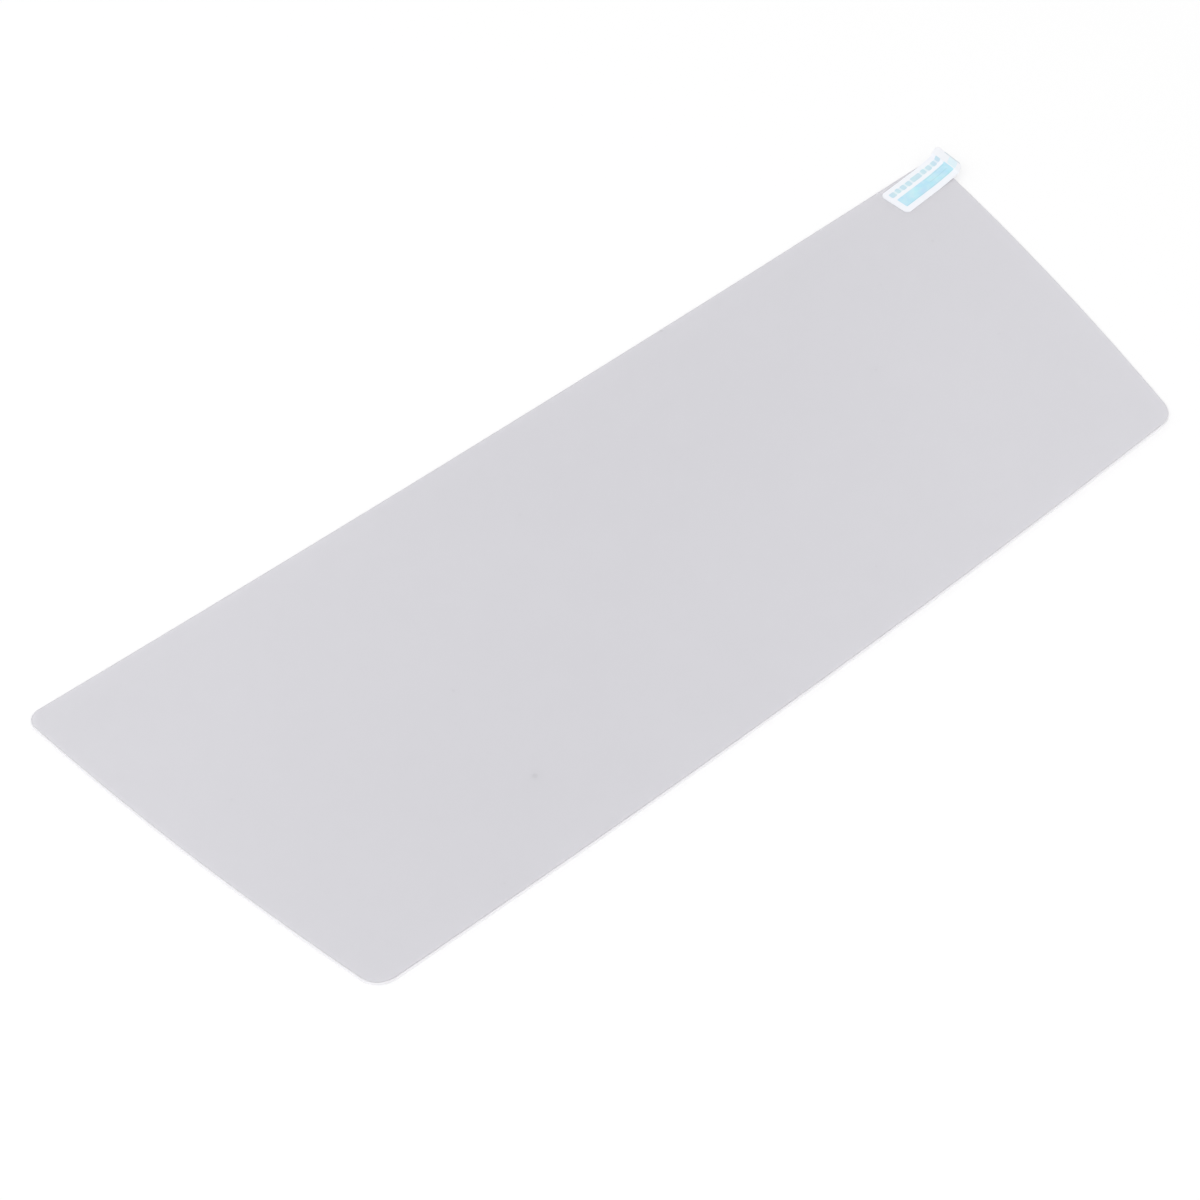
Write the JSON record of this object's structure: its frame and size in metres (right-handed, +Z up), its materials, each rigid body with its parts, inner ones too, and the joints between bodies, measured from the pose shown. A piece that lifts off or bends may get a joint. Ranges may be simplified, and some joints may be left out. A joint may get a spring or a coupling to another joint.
{
  "type": "screen protector",
  "caption": "Flat tapered glass sheet with bowed edges and rounded corners that sticks over a car display, under a peel-off liner with a creased pull tab.",
  "frame": {"origin": "centre of the pane's underside, midway between its near and far corners", "axes": "+X along the length, +Y towards the wider far edge, +Z up through the pane, out of its adhesive face"},
  "size_m": [0.351, 0.1311, 0.0058],
  "materials": {
    "clear_glass": "clear, polished faces with a ground rim",
    "liner_film": "smooth, faintly hazed clear film",
    "label_paper": "smooth white label with a pale blue printed field"
  },
  "bodies": {
    "root": {"glass_pane": "clear_glass", "release_liner": "liner_film", "pull_tab": "label_paper"}
  },
  "joints": []
}
